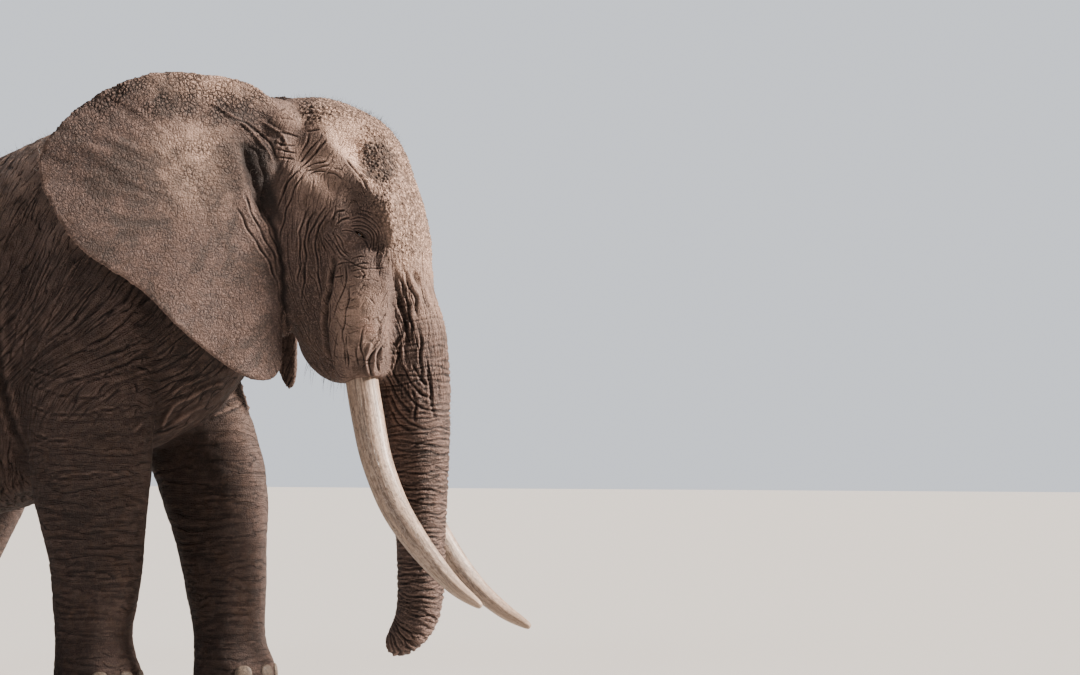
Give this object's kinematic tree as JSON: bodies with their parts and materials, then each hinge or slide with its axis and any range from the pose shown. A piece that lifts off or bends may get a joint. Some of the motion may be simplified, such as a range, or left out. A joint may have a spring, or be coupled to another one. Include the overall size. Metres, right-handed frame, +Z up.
{
  "type": "african savanna elephant",
  "caption": "Life-size standing African savanna elephant bull with very long tusks, head low and trunk hanging to the ground, as a still display model.",
  "frame": {"origin": "centre of the whole animal's bounding box on the plane of its soles", "axes": "+X forward along the body, +Y to the animal's left, +Z up"},
  "size_m": [4.8814, 2.2242, 3.5013],
  "materials": {
    "hide": "dry, deeply wrinkled grey-brown hide with dust",
    "ear": "dry, finely cracked ear skin",
    "ivory": "worn ivory with stains and long cracks",
    "nail": "dull horn",
    "eye": "wet dark amber eye",
    "hair": "stiff black bristles"
  },
  "bodies": {
    "root": {"barrel": "hide", "ear_left": "ear", "ear_right": "ear", "eye_left": "eye", "eye_right": "eye", "foreleg_left": "hide", "foreleg_right": "hide", "head": "hide", "hindleg_left": "hide", "hindleg_right": "hide", "lower_jaw": "hide", "nail_front_left_1": "nail", "nail_front_left_2": "nail", "nail_front_left_3": "nail", "nail_front_left_4": "nail", "nail_front_right_1": "nail", "nail_front_right_2": "nail", "nail_front_right_3": "nail", "nail_front_right_4": "nail", "nail_hind_left_1": "nail", "nail_hind_left_2": "nail", "nail_hind_left_3": "nail", "nail_hind_right_1": "nail", "nail_hind_right_2": "nail", "nail_hind_right_3": "nail", "neck": "hide", "rump": "hide", "tail": "hide", "tail_tuft": "hair", "thigh_left": "hide", "thigh_right": "hide", "trunk_lower": "hide", "trunk_middle": "hide", "trunk_upper": "hide", "tusk_left": "ivory", "tusk_right": "ivory", "upper_arm_left": "hide", "upper_arm_right": "hide"}
  },
  "joints": []
}
